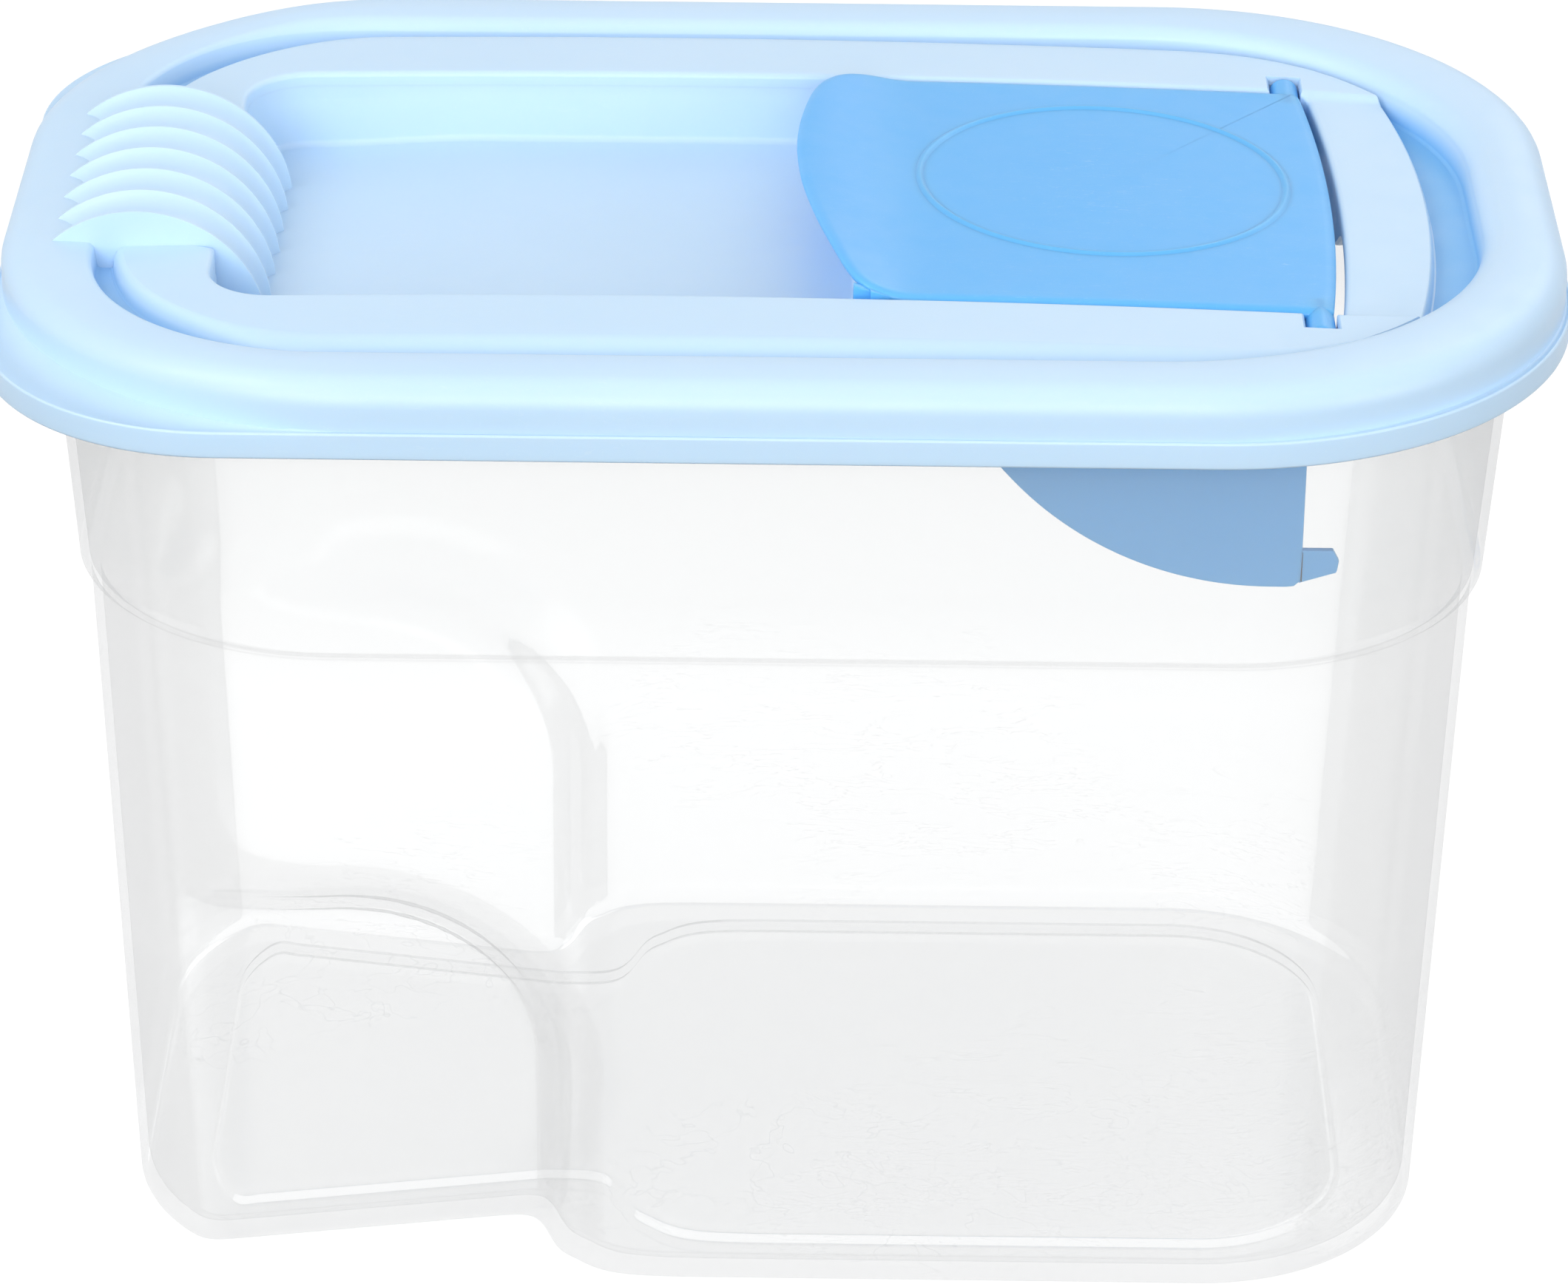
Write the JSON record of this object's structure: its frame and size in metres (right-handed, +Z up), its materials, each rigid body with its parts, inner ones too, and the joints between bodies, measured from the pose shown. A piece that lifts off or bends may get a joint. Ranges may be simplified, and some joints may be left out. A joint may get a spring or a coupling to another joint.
{
  "type": "rice bin",
  "caption": "Rice bin with a clear tub, a lift-off lid that holds a scoop pan and a grip, and a flap hinged over the scooping opening.",
  "frame": {"origin": "middle of the foot that the tub stands on, which is also the middle of the whole box at its base", "axes": "+X along the length towards the flap's hinge, +Y across to the back, +Z up"},
  "size_m": [0.34, 0.219, 0.2378],
  "materials": {
    "clear_plastic": "clear, gloss",
    "pale_blue_plastic": "satin moulded",
    "mid_blue_plastic": "satin moulded"
  },
  "bodies": {
    "container": {"container": "clear_plastic"},
    "lid": {"lid": "pale_blue_plastic"},
    "flap": {"flap": "mid_blue_plastic"}
  },
  "joints": [
    {"name": "lid_lift", "type": "slide", "parent": "container", "child": "lid", "axis": [0, 0, 1], "range_m": [0, 0.12]},
    {"name": "flap_hinge", "type": "hinge", "parent": "lid", "child": "flap", "pos_m": [0.1137, 0, 0.22572], "axis": [0, 1, 0], "range_deg": [0, 80]}
  ]
}
